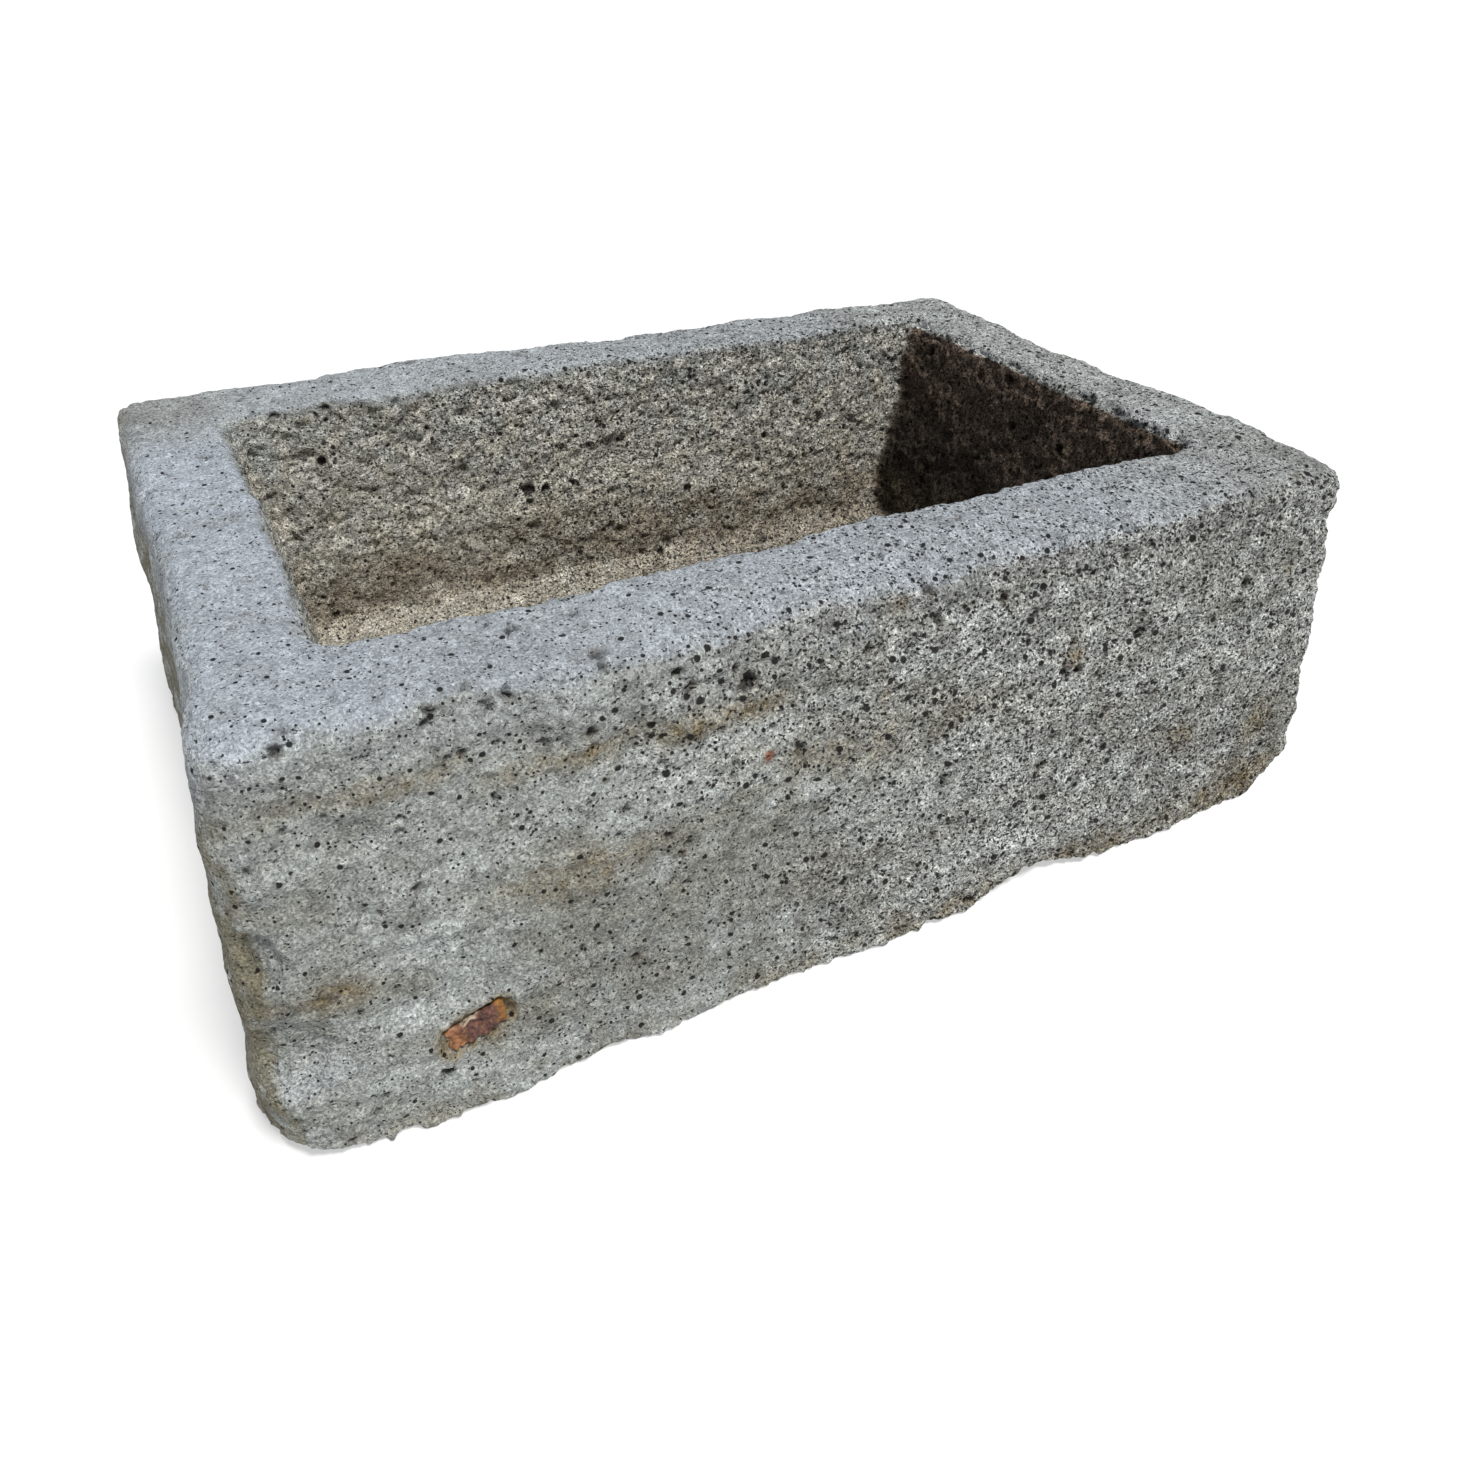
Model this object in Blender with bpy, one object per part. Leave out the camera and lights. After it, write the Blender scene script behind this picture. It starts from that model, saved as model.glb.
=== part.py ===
# A rectangular planter trough hewn from one block of porous lava stone, empty
# and free standing. Two bodies are built: the stone, and the stub of an old
# iron cramp that is still seated in a socket low on the front face.
# Metres, +Z up, +X along the long side, the front face towards -Y, and the
# underside flat on Z = 0.
import bpy
import bmesh
from math import atan, cos, pi, sin
from mathutils import Matrix, Vector, noise

# Sizes in metres
TOP_LENGTH = 0.605
TOP_WIDTH = 0.392
HEIGHT = 0.219
BATTER = 0.0210            # how far each outer face leans out from rim to foot
WALL_LEFT = 0.0535
WALL_RIGHT = 0.0525
WALL_FRONT = 0.059
WALL_BACK = 0.052
FLOOR_THICKNESS = 0.070
LEFT_LEAN = 0.018          # how far each cavity wall leans in by the floor
RIGHT_LEAN = 0.030
FRONT_LEAN = 0.015
BACK_LEAN = 0.012
LEFT_CORNER = 0.019        # corner radii seen from above
RIGHT_CORNER = 0.009
INNER_CORNER = 0.014
OUTER_ARRIS = 0.009        # edge radii seen in section
INNER_ARRIS = 0.005
FOOT_ROUND = 0.004
FLOOR_FILLET = 0.015
DRAIN_RADIUS = 0.015
WAVE_HEIGHT = 0.0030       # the slow unevenness of a hand-hewn block
WAVE_LENGTH = 0.170
DRESSING_HEIGHT = 0.0026   # broad hollows from dressing the faces by hand
DRESSING_SPACING = 0.048
MARK_HEIGHT = 0.0026       # the marks of the mason's point between them
MARK_SPACING = 0.025
RIM_BAND = 0.020           # the rim was dressed finer, down to here
STUB_LENGTH = 0.033
STUB_HEIGHT = 0.015
STUB_DEPTH = 0.022
STUB_PROUD = 0.0012        # how far the stub stands out of the stone
STUB_EDGE = 0.0020
STUB_CORNER = 0.0055
STUB_FROM_END = 0.0770     # from the left end of the rim to the stub's middle
STUB_Z = 0.0510
GAP = 0.0003               # left round the stub in its socket

# Worn places: how far the surface has moved, and how wide the place is
LIP_WEAR = 0.0040
LIP_WEAR_REACH = 0.065
FRONT_SWELL = 0.0065
FRONT_SWELL_LENGTH = 0.340
FRONT_SWELL_REACH = 0.060
LEFT_WEAR = 0.0050
LEFT_WEAR_ACROSS = 0.060
LEFT_WEAR_REACH = 0.140
BACK_RISE = 0.0022
BACK_RISE_LENGTH = 0.280
BACK_RISE_REACH = 0.080
SHOULDER_RISE = 0.0040
SHOULDER_REACH = 0.095
CORNER_HOLLOW = 0.0060
CORNER_HOLLOW_REACH = 0.032
CORNER_CHIP = 0.0080
CORNER_CHIP_REACH = 0.050
RIGHT_CHIP = 0.0065
RIGHT_CHIP_REACH = 0.036
EDGE_CHIP = 0.0060
EDGE_CHIP_LENGTH = 0.060
EDGE_CHIP_REACH = 0.026
ARRIS_WEAR = 0.0045
ARRIS_WEAR_REACH = 0.034
ARRIS_WEAR_LENGTH = 0.220

# Where the worn places lie, as shares of the rim's half length and half width
LIP_WEAR_SHARES = (-0.53, -0.90)
FRONT_SWELL_SHARES = (0.75, -0.70)
LEFT_WEAR_SHARES = (-1.00, -0.35)
SHOULDER_SHARES = (1.00, -0.66)
ARRIS_WEAR_SHARES = (0.10, -1.00)
BACK_RISE_SHARES = (-0.48, 1.00)
CORNER_HOLLOW_SHARES = (-1.00, -1.065, 0.31)    # the last one of the height
EDGE_CHIP_SHARE = 0.37

STUB_TILT = 14 * pi / 180
LONG_STEPS, SHORT_STEPS, CORNER_STEPS = 36, 23, 4
WALL_STEPS, CAVITY_STEPS, ARC_STEPS = 12, 8, 3
UNDERSIDE_STEPS, FLOOR_STEPS = 4, 7
STUB_ARC_STEPS = 6
DEEP_SHARE = 0.5           # the stub tapers to this share of its section
RIM_CALM_SHARE = 0.6       # how much of the marks is gone at the rim


def clear_scene():
    """Start from an empty file."""
    for thing in list(bpy.data.objects):
        bpy.data.objects.remove(thing, do_unlink=True)


def corner_ring(box, radii, z, steps):
    """Points round a rectangle with rounded corners, counter-clockwise.

    box is (x low, x high, y low, y high). radii is (right corners, left
    corners). steps is (along a long side, along a short side, round a
    corner), so that all rings match.
    """
    x0, x1, y0, y1 = box
    right, left = radii
    long_steps, short_steps, corner_steps = steps
    centres = [(x1 - right, y0 + right, right, -pi / 2, short_steps),
               (x1 - right, y1 - right, right, 0, long_steps),
               (x0 + left, y1 - left, left, pi / 2, short_steps),
               (x0 + left, y0 + left, left, pi, long_steps)]
    arcs = []
    for cx, cy, radius, start, side_steps in centres:
        turns = [start + i * pi / 2 / corner_steps for i in range(corner_steps + 1)]
        arcs.append([Vector((cx + radius * cos(a), cy + radius * sin(a), z))
                     for a in turns])
    points = []
    for k, arc in enumerate(arcs):
        side_steps = centres[k][-1]
        end = arcs[(k + 1) % len(arcs)][0]
        points += arc
        points += [arc[-1].lerp(end, i / side_steps) for i in range(1, side_steps)]
    return points


def outer_box(z, inset):
    """The outer rectangle at height z, moved in by inset."""
    grow = BATTER * (1 - z / HEIGHT) - inset
    x = TOP_LENGTH / 2 + grow
    y = TOP_WIDTH / 2 + grow
    return (-x, x, -y, y)


def cavity_box(z, inset):
    """The cavity's rectangle at height z, moved in by inset."""
    share = (HEIGHT - z) / (HEIGHT - FLOOR_THICKNESS)
    return (-TOP_LENGTH / 2 + WALL_LEFT + LEFT_LEAN * share + inset,
            TOP_LENGTH / 2 - WALL_RIGHT - RIGHT_LEAN * share - inset,
            -TOP_WIDTH / 2 + WALL_FRONT + FRONT_LEAN * share + inset,
            TOP_WIDTH / 2 - WALL_BACK - BACK_LEAN * share - inset)


def round_ring(ring, radius, z):
    """A circle whose points lie in the same directions as those of a ring."""
    points = []
    for p in ring:
        out = Vector((p.x, p.y, 0)).normalized() * radius
        points.append(Vector((out.x, out.y, z)))
    return points


def blend(ring_a, ring_b, share):
    """The ring at a share of the way from one ring to another."""
    return [a.lerp(b, share) for a, b in zip(ring_a, ring_b)]


def stone_rings():
    """All rings, from the drain hole's lower edge right round to its upper one."""
    steps = (LONG_STEPS, SHORT_STEPS, CORNER_STEPS)
    outer = (RIGHT_CORNER, LEFT_CORNER)
    inner = (INNER_CORNER, INNER_CORNER)
    rings = []
    under = corner_ring(outer_box(0, FOOT_ROUND), outer, 0, steps)
    hole_low = round_ring(under, DRAIN_RADIUS, 0)
    for i in range(UNDERSIDE_STEPS):
        rings.append(blend(hole_low, under, i / UNDERSIDE_STEPS))
    rings.append(under)
    for i in range(1, ARC_STEPS + 1):
        a = i * pi / 2 / ARC_STEPS
        z = FOOT_ROUND * (1 - cos(a))
        inset = FOOT_ROUND * (1 - sin(a))
        rings.append(corner_ring(outer_box(z, inset), outer, z, steps))
    top_of_wall = HEIGHT - OUTER_ARRIS
    for i in range(1, WALL_STEPS + 1):
        z = FOOT_ROUND + (top_of_wall - FOOT_ROUND) * i / WALL_STEPS
        rings.append(corner_ring(outer_box(z, 0), outer, z, steps))
    for i in range(1, ARC_STEPS + 1):
        a = i * pi / 2 / ARC_STEPS
        z = top_of_wall + OUTER_ARRIS * sin(a)
        inset = OUTER_ARRIS * (1 - cos(a))
        rings.append(corner_ring(outer_box(z, inset), outer, z, steps))
    lip = corner_ring(cavity_box(HEIGHT, -INNER_ARRIS), inner, HEIGHT, steps)
    rings.append(blend(rings[-1], lip, 1 / 2))
    rings.append(lip)
    for i in range(1, ARC_STEPS + 1):
        a = i * pi / 2 / ARC_STEPS
        z = HEIGHT - INNER_ARRIS * (1 - cos(a))
        inset = -INNER_ARRIS * (1 - sin(a))
        rings.append(corner_ring(cavity_box(z, inset), inner, z, steps))
    wall_top = HEIGHT - INNER_ARRIS
    wall_foot = FLOOR_THICKNESS + FLOOR_FILLET
    for i in range(1, CAVITY_STEPS + 1):
        z = wall_top + (wall_foot - wall_top) * i / CAVITY_STEPS
        rings.append(corner_ring(cavity_box(z, 0), inner, z, steps))
    for i in range(1, ARC_STEPS + 1):
        a = i * pi / 2 / ARC_STEPS
        z = wall_foot - FLOOR_FILLET * sin(a)
        inset = FLOOR_FILLET * (1 - cos(a))
        rings.append(corner_ring(cavity_box(z, inset), inner, z, steps))
    hole_high = round_ring(rings[-1], DRAIN_RADIUS, FLOOR_THICKNESS)
    floor = rings[-1]
    for i in range(1, FLOOR_STEPS + 1):
        rings.append(blend(floor, hole_high, i / FLOOR_STEPS))
    return rings


def worn_places():
    """Centre, reach along X, reach across, and movement of each worn place."""
    x, y = TOP_LENGTH / 2, TOP_WIDTH / 2
    lip = Vector((x * LIP_WEAR_SHARES[0], y * LIP_WEAR_SHARES[1], HEIGHT))
    swell = Vector((x * FRONT_SWELL_SHARES[0], y * FRONT_SWELL_SHARES[1], HEIGHT))
    left = Vector((x * LEFT_WEAR_SHARES[0], y * LEFT_WEAR_SHARES[1], HEIGHT))
    shoulder = Vector((x * SHOULDER_SHARES[0], y * SHOULDER_SHARES[1], HEIGHT))
    arris = Vector((x * ARRIS_WEAR_SHARES[0], y * ARRIS_WEAR_SHARES[1], HEIGHT))
    back = Vector((x * BACK_RISE_SHARES[0], y * BACK_RISE_SHARES[1], HEIGHT))
    left_foot = Vector((-x - BATTER, -y - BATTER, 0))
    right_foot = Vector((x + BATTER, -y - BATTER, 0))
    edge = Vector((x * EDGE_CHIP_SHARE, -y - BATTER, 0))
    hollow = Vector((x * CORNER_HOLLOW_SHARES[0], y * CORNER_HOLLOW_SHARES[1],
                     HEIGHT * CORNER_HOLLOW_SHARES[2]))
    return [(lip, LIP_WEAR_REACH, LIP_WEAR_REACH,
             Vector((0, -LIP_WEAR, -LIP_WEAR / 2))),
            (swell, FRONT_SWELL_LENGTH, FRONT_SWELL_REACH,
             Vector((0, FRONT_SWELL, 0))),
            (left, LEFT_WEAR_ACROSS, LEFT_WEAR_REACH, Vector((LEFT_WEAR, 0, 0))),
            (shoulder, SHOULDER_REACH, SHOULDER_REACH,
             Vector((0, 0, SHOULDER_RISE))),
            (arris, ARRIS_WEAR_LENGTH, ARRIS_WEAR_REACH,
             Vector((0, ARRIS_WEAR, -ARRIS_WEAR))),
            (back, BACK_RISE_LENGTH, BACK_RISE_REACH, Vector((0, 0, BACK_RISE))),
            (hollow, CORNER_HOLLOW_REACH, CORNER_HOLLOW_REACH,
             Vector((CORNER_HOLLOW / 2, CORNER_HOLLOW, 0))),
            (left_foot, CORNER_CHIP_REACH, CORNER_CHIP_REACH,
             Vector((CORNER_CHIP, CORNER_CHIP / 2, CORNER_CHIP))),
            (right_foot, RIGHT_CHIP_REACH, RIGHT_CHIP_REACH,
             Vector((-RIGHT_CHIP, RIGHT_CHIP, RIGHT_CHIP / 2))),
            (edge, EDGE_CHIP_LENGTH, EDGE_CHIP_REACH,
             Vector((0, EDGE_CHIP, EDGE_CHIP)))]


def uneven(point, spacing):
    """Smooth noise along each axis, which leaves the foot flat."""
    low = min(1, point.z / FLOOR_THICKNESS)
    seat = low * low * (3 - 2 * low)
    at = point / spacing
    return Vector((noise.noise(at + Vector((7, 0, 0))),
                   noise.noise(at + Vector((0, 11, 0))),
                   noise.noise(at + Vector((0, 0, 13))) * seat))


def hewn(point):
    """Move one point of the plain shape to where the mason and wear left it."""
    moved = point + uneven(point, WAVE_LENGTH) * WAVE_HEIGHT
    moved += uneven(point, DRESSING_SPACING) * DRESSING_HEIGHT
    calmed = RIM_CALM_SHARE * max(0, 1 - (HEIGHT - point.z) / RIM_BAND)
    moved += uneven(point, MARK_SPACING) * MARK_HEIGHT * (1 - calmed)
    for centre, reach_x, reach, push in worn_places():
        off = point - centre
        across = (off.y * off.y + off.z * off.z) / (reach * reach)
        near = 1 - off.x * off.x / (reach_x * reach_x) - across
        if near > 0:
            moved += push * near * near
    return moved


def mesh_object(name, verts, faces):
    """One named object from points and faces."""
    mesh = bpy.data.meshes.new(name)
    mesh.from_pydata([tuple(v) for v in verts], [], faces)
    mesh.update()
    made = bpy.data.objects.new(name, mesh)
    bpy.context.scene.collection.objects.link(made)
    return made


def bridged(rings, closed):
    """Quads between rings that follow each other; closed joins last to first."""
    count = len(rings[0])
    faces = []
    pairs = len(rings) if closed else len(rings) - 1
    for r in range(pairs):
        low, high = r * count, ((r + 1) % len(rings)) * count
        for i in range(count):
            j = (i + 1) % count
            faces.append((low + i, low + j, high + j, high + i))
    return faces


def build_stone():
    """The hewn block with its cavity and drain hole, as one ring of rings."""
    rings = stone_rings()
    verts = [hewn(p) for ring in rings for p in ring]
    stone = mesh_object("trough", verts, bridged(rings, True))
    return stone


def stub_body(name, sections):
    """The stub's tapering bar along its own Y axis, with the length along X.

    Each section is (how far along, share of the section, growth all round).
    """
    steps = (1, 1, STUB_ARC_STEPS)
    verts = []
    for along, share, grow in sections:
        half_x = STUB_LENGTH / 2 - STUB_HEIGHT / 2 * (1 - share) + grow
        half_z = STUB_HEIGHT / 2 * share + grow
        box = (-half_x, half_x, -half_z, half_z)
        radius = STUB_CORNER * share + grow
        ring = corner_ring(box, (radius, radius), 0, steps)
        verts += [Vector((p.x, along, p.y)) for p in ring]
    count = len(verts) // len(sections)
    rings = [verts[i * count:(i + 1) * count] for i in range(len(sections))]
    faces = bridged(rings, False)
    faces.append(tuple(range(count - 1, -1, -1)))
    faces.append(tuple(range(len(verts) - count, len(verts))))
    return mesh_object(name, verts, faces)


def tidy_mesh(thing):
    """Triangles, with every face turned outwards."""
    work = bmesh.new()
    work.from_mesh(thing.data)
    bmesh.ops.triangulate(work, faces=work.faces[:])
    bmesh.ops.recalc_face_normals(work, faces=work.faces[:])
    work.to_mesh(thing.data)
    work.free()


def stub_place():
    """Where the stub sits: on the front face, square to it and tilted."""
    face = Vector((STUB_FROM_END - TOP_LENGTH / 2, outer_box(STUB_Z, 0)[2], STUB_Z))
    lean = Matrix.Rotation(-atan(BATTER / HEIGHT), 4, "X")
    tilt = Matrix.Rotation(-STUB_TILT, 4, "Y")
    return Matrix.Translation(hewn(face)) @ lean @ tilt


def place(thing, matrix):
    """Write a placing into the mesh itself."""
    thing.data.transform(matrix)


def paint(thing, name, colour, roughness, metallic):
    """Give a body its own Principled material."""
    material = bpy.data.materials.new(name)
    material.use_nodes = True
    shader = material.node_tree.nodes["Principled BSDF"]
    shader.inputs["Base Color"].default_value = colour
    shader.inputs["Roughness"].default_value = roughness
    shader.inputs["Metallic"].default_value = metallic
    thing.data.materials.append(material)


clear_scene()

stone = build_stone()
tidy_mesh(stone)

# The stub's outer edge is eased, and it narrows into the stone
whole, eased = 1, 1 - 2 * STUB_EDGE / STUB_HEIGHT
stub = stub_body("iron_stub", [(-STUB_PROUD, eased, 0),
                               (STUB_EDGE - STUB_PROUD, whole, 0),
                               (STUB_DEPTH, DEEP_SHARE, 0)])
socket = stub_body("socket_cutter", [(-STUB_DEPTH, whole, GAP),
                                     (STUB_EDGE - STUB_PROUD, whole, GAP),
                                     (STUB_DEPTH + GAP, DEEP_SHARE, GAP)])
for body in (stub, socket):
    tidy_mesh(body)
    place(body, stub_place())

# The box round the stone is centred on the origin
xs = [v.co.x for v in stone.data.vertices]
ys = [v.co.y for v in stone.data.vertices]
middle = Vector(((min(xs) + max(xs)) / 2, (min(ys) + max(ys)) / 2, 0))
for body in (stone, stub, socket):
    place(body, Matrix.Translation(-middle))

cut = stone.modifiers.new("socket", "BOOLEAN")
cut.operation = "DIFFERENCE"
cut.solver = "EXACT"
cut.object = socket
socket.hide_render = True
socket.display_type = "WIRE"

paint(stone, "stone", (0.27, 0.27, 0.26, 1), 0.93, 0)
paint(stub, "rusted_iron", (0.22, 0.09, 0.04, 1), 0.85, 0.3)
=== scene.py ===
# %% [markdown]
# # A planter trough hewn from lava stone
# The real thing is one block of porous basalt, squared with a pick, hollowed
# out by hand and weathered for decades. There is nothing to assemble, so the
# whole likeness lies in the skin: a slightly uneven box, soft arrises, pick
# marks, gas holes, and stains of iron, soil and lichen. The script builds one
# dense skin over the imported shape, then paints it with nodes.

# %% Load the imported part
import math

import bmesh
import bpy
import numpy as np
from mathutils import Matrix, Vector, noise


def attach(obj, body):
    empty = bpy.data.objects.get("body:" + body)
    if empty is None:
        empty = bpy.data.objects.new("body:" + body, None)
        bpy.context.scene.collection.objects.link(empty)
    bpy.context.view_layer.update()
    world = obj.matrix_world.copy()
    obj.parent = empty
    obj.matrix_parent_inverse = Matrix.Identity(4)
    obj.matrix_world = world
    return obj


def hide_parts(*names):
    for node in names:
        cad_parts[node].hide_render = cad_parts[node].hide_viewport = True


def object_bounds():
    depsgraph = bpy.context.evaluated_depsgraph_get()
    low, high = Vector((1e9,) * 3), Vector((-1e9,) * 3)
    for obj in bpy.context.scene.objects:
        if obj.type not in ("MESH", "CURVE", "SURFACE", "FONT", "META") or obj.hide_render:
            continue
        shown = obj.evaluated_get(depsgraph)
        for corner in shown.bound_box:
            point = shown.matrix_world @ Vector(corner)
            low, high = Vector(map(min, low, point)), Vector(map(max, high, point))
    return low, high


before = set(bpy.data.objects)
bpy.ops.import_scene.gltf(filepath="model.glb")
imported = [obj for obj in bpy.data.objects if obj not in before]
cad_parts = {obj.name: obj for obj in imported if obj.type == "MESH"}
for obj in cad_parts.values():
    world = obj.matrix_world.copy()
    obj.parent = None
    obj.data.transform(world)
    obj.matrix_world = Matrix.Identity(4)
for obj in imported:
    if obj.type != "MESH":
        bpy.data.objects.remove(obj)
cad_low, cad_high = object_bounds()
print("packed box:", [round(v, 4) for v in (*cad_low, *cad_high)])

# %% [markdown]
# ## Camera
# The viewpoint was solved from the edges of the block: three sets of parallel
# edges fix the direction and the lens, and the box's proportions fix the
# place. A wide lens close by gives the strong taper towards the far end.

# %% Camera
eye = Vector((-0.2795, -0.5415, 0.4538))
right = Vector((0.88452, -0.46600, 0.02185))
up = Vector((0.26015, 0.53159, 0.80606))
back = right.cross(up)
turn = Matrix((right, back.cross(right), back)).transposed().to_4x4()
lens = bpy.data.cameras.new("camera")
lens.lens, lens.sensor_width = 26.86, 36
camera = bpy.data.objects.new("camera", lens)
camera.matrix_world = Matrix.Translation(eye) @ turn
bpy.context.scene.collection.objects.link(camera)
bpy.context.scene.camera = camera
block_middle = Vector((0, 0, 0.11))
print("camera", round((eye - block_middle).length, 3), "m from the middle")

# %% [markdown]
# ## The block's plain form
# A mason starts from a squared block, so the plan is a set of rounded
# rectangles, one above the other. Each has its own height, inset and corner
# radii, and together they run from the drain hole under the block, up the
# outside, over the rim, down the cavity and back to the hole. The sizes are
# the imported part's own, in metres.

# %% Sizes of the block
# The batter is how far each face leans out towards the foot, and a lean is how
# far a cavity wall comes in towards the floor. Corner radii are those of the
# right end, then of the left. An arris is a worn edge. Three waves make the
# block uneven, each with its height and its length or spacing, and the finest
# is calmer in a band under the rim.
top_length, top_width, height, batter = 0.605, 0.392, 0.219, 0.021
wall_left, wall_right, wall_front, wall_back = 0.0535, 0.0525, 0.059, 0.052
lean_left, lean_right, lean_front, lean_back = 0.018, 0.030, 0.015, 0.012
floor_thickness, floor_fillet, drain_radius = 0.070, 0.015, 0.015
outer_corners, inner_corners = (0.009, 0.019), (0.014, 0.014)
outer_arris, inner_arris, foot_round = 0.009, 0.005, 0.004
wave_height, wave_length = 0.0030, 0.170
dressing_height, dressing_spacing = 0.0026, 0.048
mark_height, mark_spacing, rim_band, rim_calm = 0.0026, 0.025, 0.020, 0.6
mm = 0.001
print("foot", round(top_length + 2 * batter, 3), "by",
      round(top_width + 2 * batter, 3), "m before it is worn")

# %% Worn places
# Centre, reach along X, reach across, and how far the stone has moved there.
half_x, half_y = top_length / 2, top_width / 2
worn_places = [
    ((-0.53 * half_x, -0.90 * half_y, height), 0.065, 0.065, (0, -0.004, -0.002)),
    ((0.75 * half_x, -0.70 * half_y, height), 0.340, 0.060, (0, 0.0065, 0)),
    ((-half_x, -0.35 * half_y, height), 0.060, 0.140, (0.005, 0, 0)),
    ((half_x, -0.66 * half_y, height), 0.095, 0.095, (0, 0, 0.004)),
    ((0.10 * half_x, -half_y, height), 0.220, 0.034, (0, 0.0045, -0.0045)),
    ((-0.48 * half_x, half_y, height), 0.280, 0.080, (0, 0, 0.0022)),
    ((-half_x, -1.065 * half_y, 0.31 * height), 0.032, 0.032, (0.003, 0.006, 0)),
    ((-half_x - batter, -half_y - batter, 0), 0.050, 0.050,
     (0.008, 0.004, 0.008)),
    ((half_x + batter, -half_y - batter, 0), 0.036, 0.036,
     (-0.0065, 0.0065, 0.00325)),
    ((0.37 * half_x, -half_y - batter, 0), 0.060, 0.026, (0, 0.006, 0.006)),
]
print(len(worn_places), "worn or chipped places")

# %% Rounded rectangles
# The spacing of the points is what limits how small a gas hole can be cut. The
# counts are multiples of four, so that rows can be thinned out later.
grain = 1.3 * mm
short_run, long_run, corner_run = 0.40, 0.62, 0.026
short_steps, long_steps, corner_steps = (
    4 * round(run / grain / 4) for run in (short_run, long_run, corner_run))
print("steps of the sides and a corner:", short_steps, long_steps, corner_steps)


def ring(box, radii, z):
    """Points round a rectangle with rounded corners, counter-clockwise."""
    x0, x1, y0, y1 = box
    r, l = radii
    corners = [(x1 - r, y0 + r, r, -90), (x1 - r, y1 - r, r, 0),
               (x0 + l, y1 - l, l, 90), (x0 + l, y0 + l, l, 180)]
    arcs = []
    for cx, cy, radius, start in corners:
        a = np.radians(start + np.linspace(0, 90, corner_steps + 1))
        arcs.append(np.stack([cx + radius * np.cos(a), cy + radius * np.sin(a),
                              np.full(len(a), z)], 1))
    parts = []
    for k, arc in enumerate(arcs):
        steps = (short_steps, long_steps)[k % 2]
        share = np.arange(1, steps)[:, None] / steps
        parts += [arc, arc[-1] + (arcs[(k + 1) % 4][0] - arc[-1]) * share]
    return np.concatenate(parts)


def outside(z, inset):
    """The outer rectangle at height z."""
    grow = batter * (1 - z / height) - inset
    return (-half_x - grow, half_x + grow, -half_y - grow, half_y + grow)


def cavity(z, inset):
    """The cavity's rectangle at height z."""
    s = (height - z) / (height - floor_thickness)
    return (-half_x + wall_left + lean_left * s + inset,
            half_x - wall_right - lean_right * s - inset,
            -half_y + wall_front + lean_front * s + inset,
            half_y - wall_back - lean_back * s - inset)


# %% The profile, from the drain hole round to the drain hole
def steps_of(length, spacing):
    """Shares from just over 0 to 1, for points about this far apart."""
    count = max(2, round(length / spacing))
    return np.arange(1, count + 1) / count


rows = []       # (zone, ring of points, how much of an edge it is)
under_rows, rim_run, floor_run = 30, 0.042, 0.120


def add_arc(zone, radius, place):
    """A quarter turn of rings: place(share of the turn) gives each one."""
    for s in steps_of(radius * np.pi / 2, grain):
        rows.append((zone, place(s * np.pi / 2), np.sin(s * np.pi)))


def drain(like, z):
    """A circle whose points lie in the same directions as those of a ring."""
    flat = like[:, :2]
    out = flat / np.linalg.norm(flat, axis=1)[:, None] * drain_radius
    return np.column_stack([out, np.full(len(out), z)])


under_edge = ring(outside(0, foot_round), outer_corners, 0)
under_hole = drain(under_edge, 0)
for s in np.linspace(0, 1, under_rows):
    rows.append(("under", under_hole + (under_edge - under_hole) * s, s == 1))
add_arc("wall", foot_round, lambda a: ring(
    outside(foot_round * (1 - np.cos(a)), foot_round * (1 - np.sin(a))),
    outer_corners, foot_round * (1 - np.cos(a))))
wall_top = height - outer_arris
for s in steps_of(wall_top - foot_round, grain):
    z = foot_round + (wall_top - foot_round) * s
    rows.append(("wall", ring(outside(z, 0), outer_corners, z), 0))
add_arc("wall", outer_arris, lambda a: ring(
    outside(wall_top + outer_arris * np.sin(a), outer_arris * (1 - np.cos(a))),
    outer_corners, wall_top + outer_arris * np.sin(a)))
rim_out = rows[-1][1]
rim_in = ring(cavity(height, -inner_arris), inner_corners, height)
for s in steps_of(rim_run, grain):
    rows.append(("rim", rim_out + (rim_in - rim_out) * s, 0))
add_arc("rim", inner_arris, lambda a: ring(
    cavity(height - inner_arris * (1 - np.cos(a)),
           -inner_arris * (1 - np.sin(a))),
    inner_corners, height - inner_arris * (1 - np.cos(a))))
cavity_top, cavity_foot = height - inner_arris, floor_thickness + floor_fillet
for s in steps_of(cavity_top - cavity_foot, grain):
    z = cavity_top + (cavity_foot - cavity_top) * s
    rows.append(("cavity", ring(cavity(z, 0), inner_corners, z), 0))
add_arc("cavity", floor_fillet, lambda a: ring(
    cavity(cavity_foot - floor_fillet * np.sin(a),
           floor_fillet * (1 - np.cos(a))),
    inner_corners, cavity_foot - floor_fillet * np.sin(a)))
floor_edge = rows[-1][1]
floor_hole = drain(floor_edge, floor_thickness)
for s in steps_of(floor_run, 1.6 * grain):
    rows.append(("floor", floor_edge + (floor_hole - floor_edge) * s, 0))
for s in steps_of(floor_thickness, 2 * grain)[:-1]:
    low = floor_hole.copy()
    low[:, 2] = floor_thickness * (1 - s)
    rows.append(("drain", low, 0))
print(len(rows), "rings of", len(rim_out), "points")

# %% [markdown]
# ## One closed skin
# Full density is wasted where nobody looks, so the underside and the middle
# of the floor keep every second or fourth point. Where the count halves,
# three triangles close each step.

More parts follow.
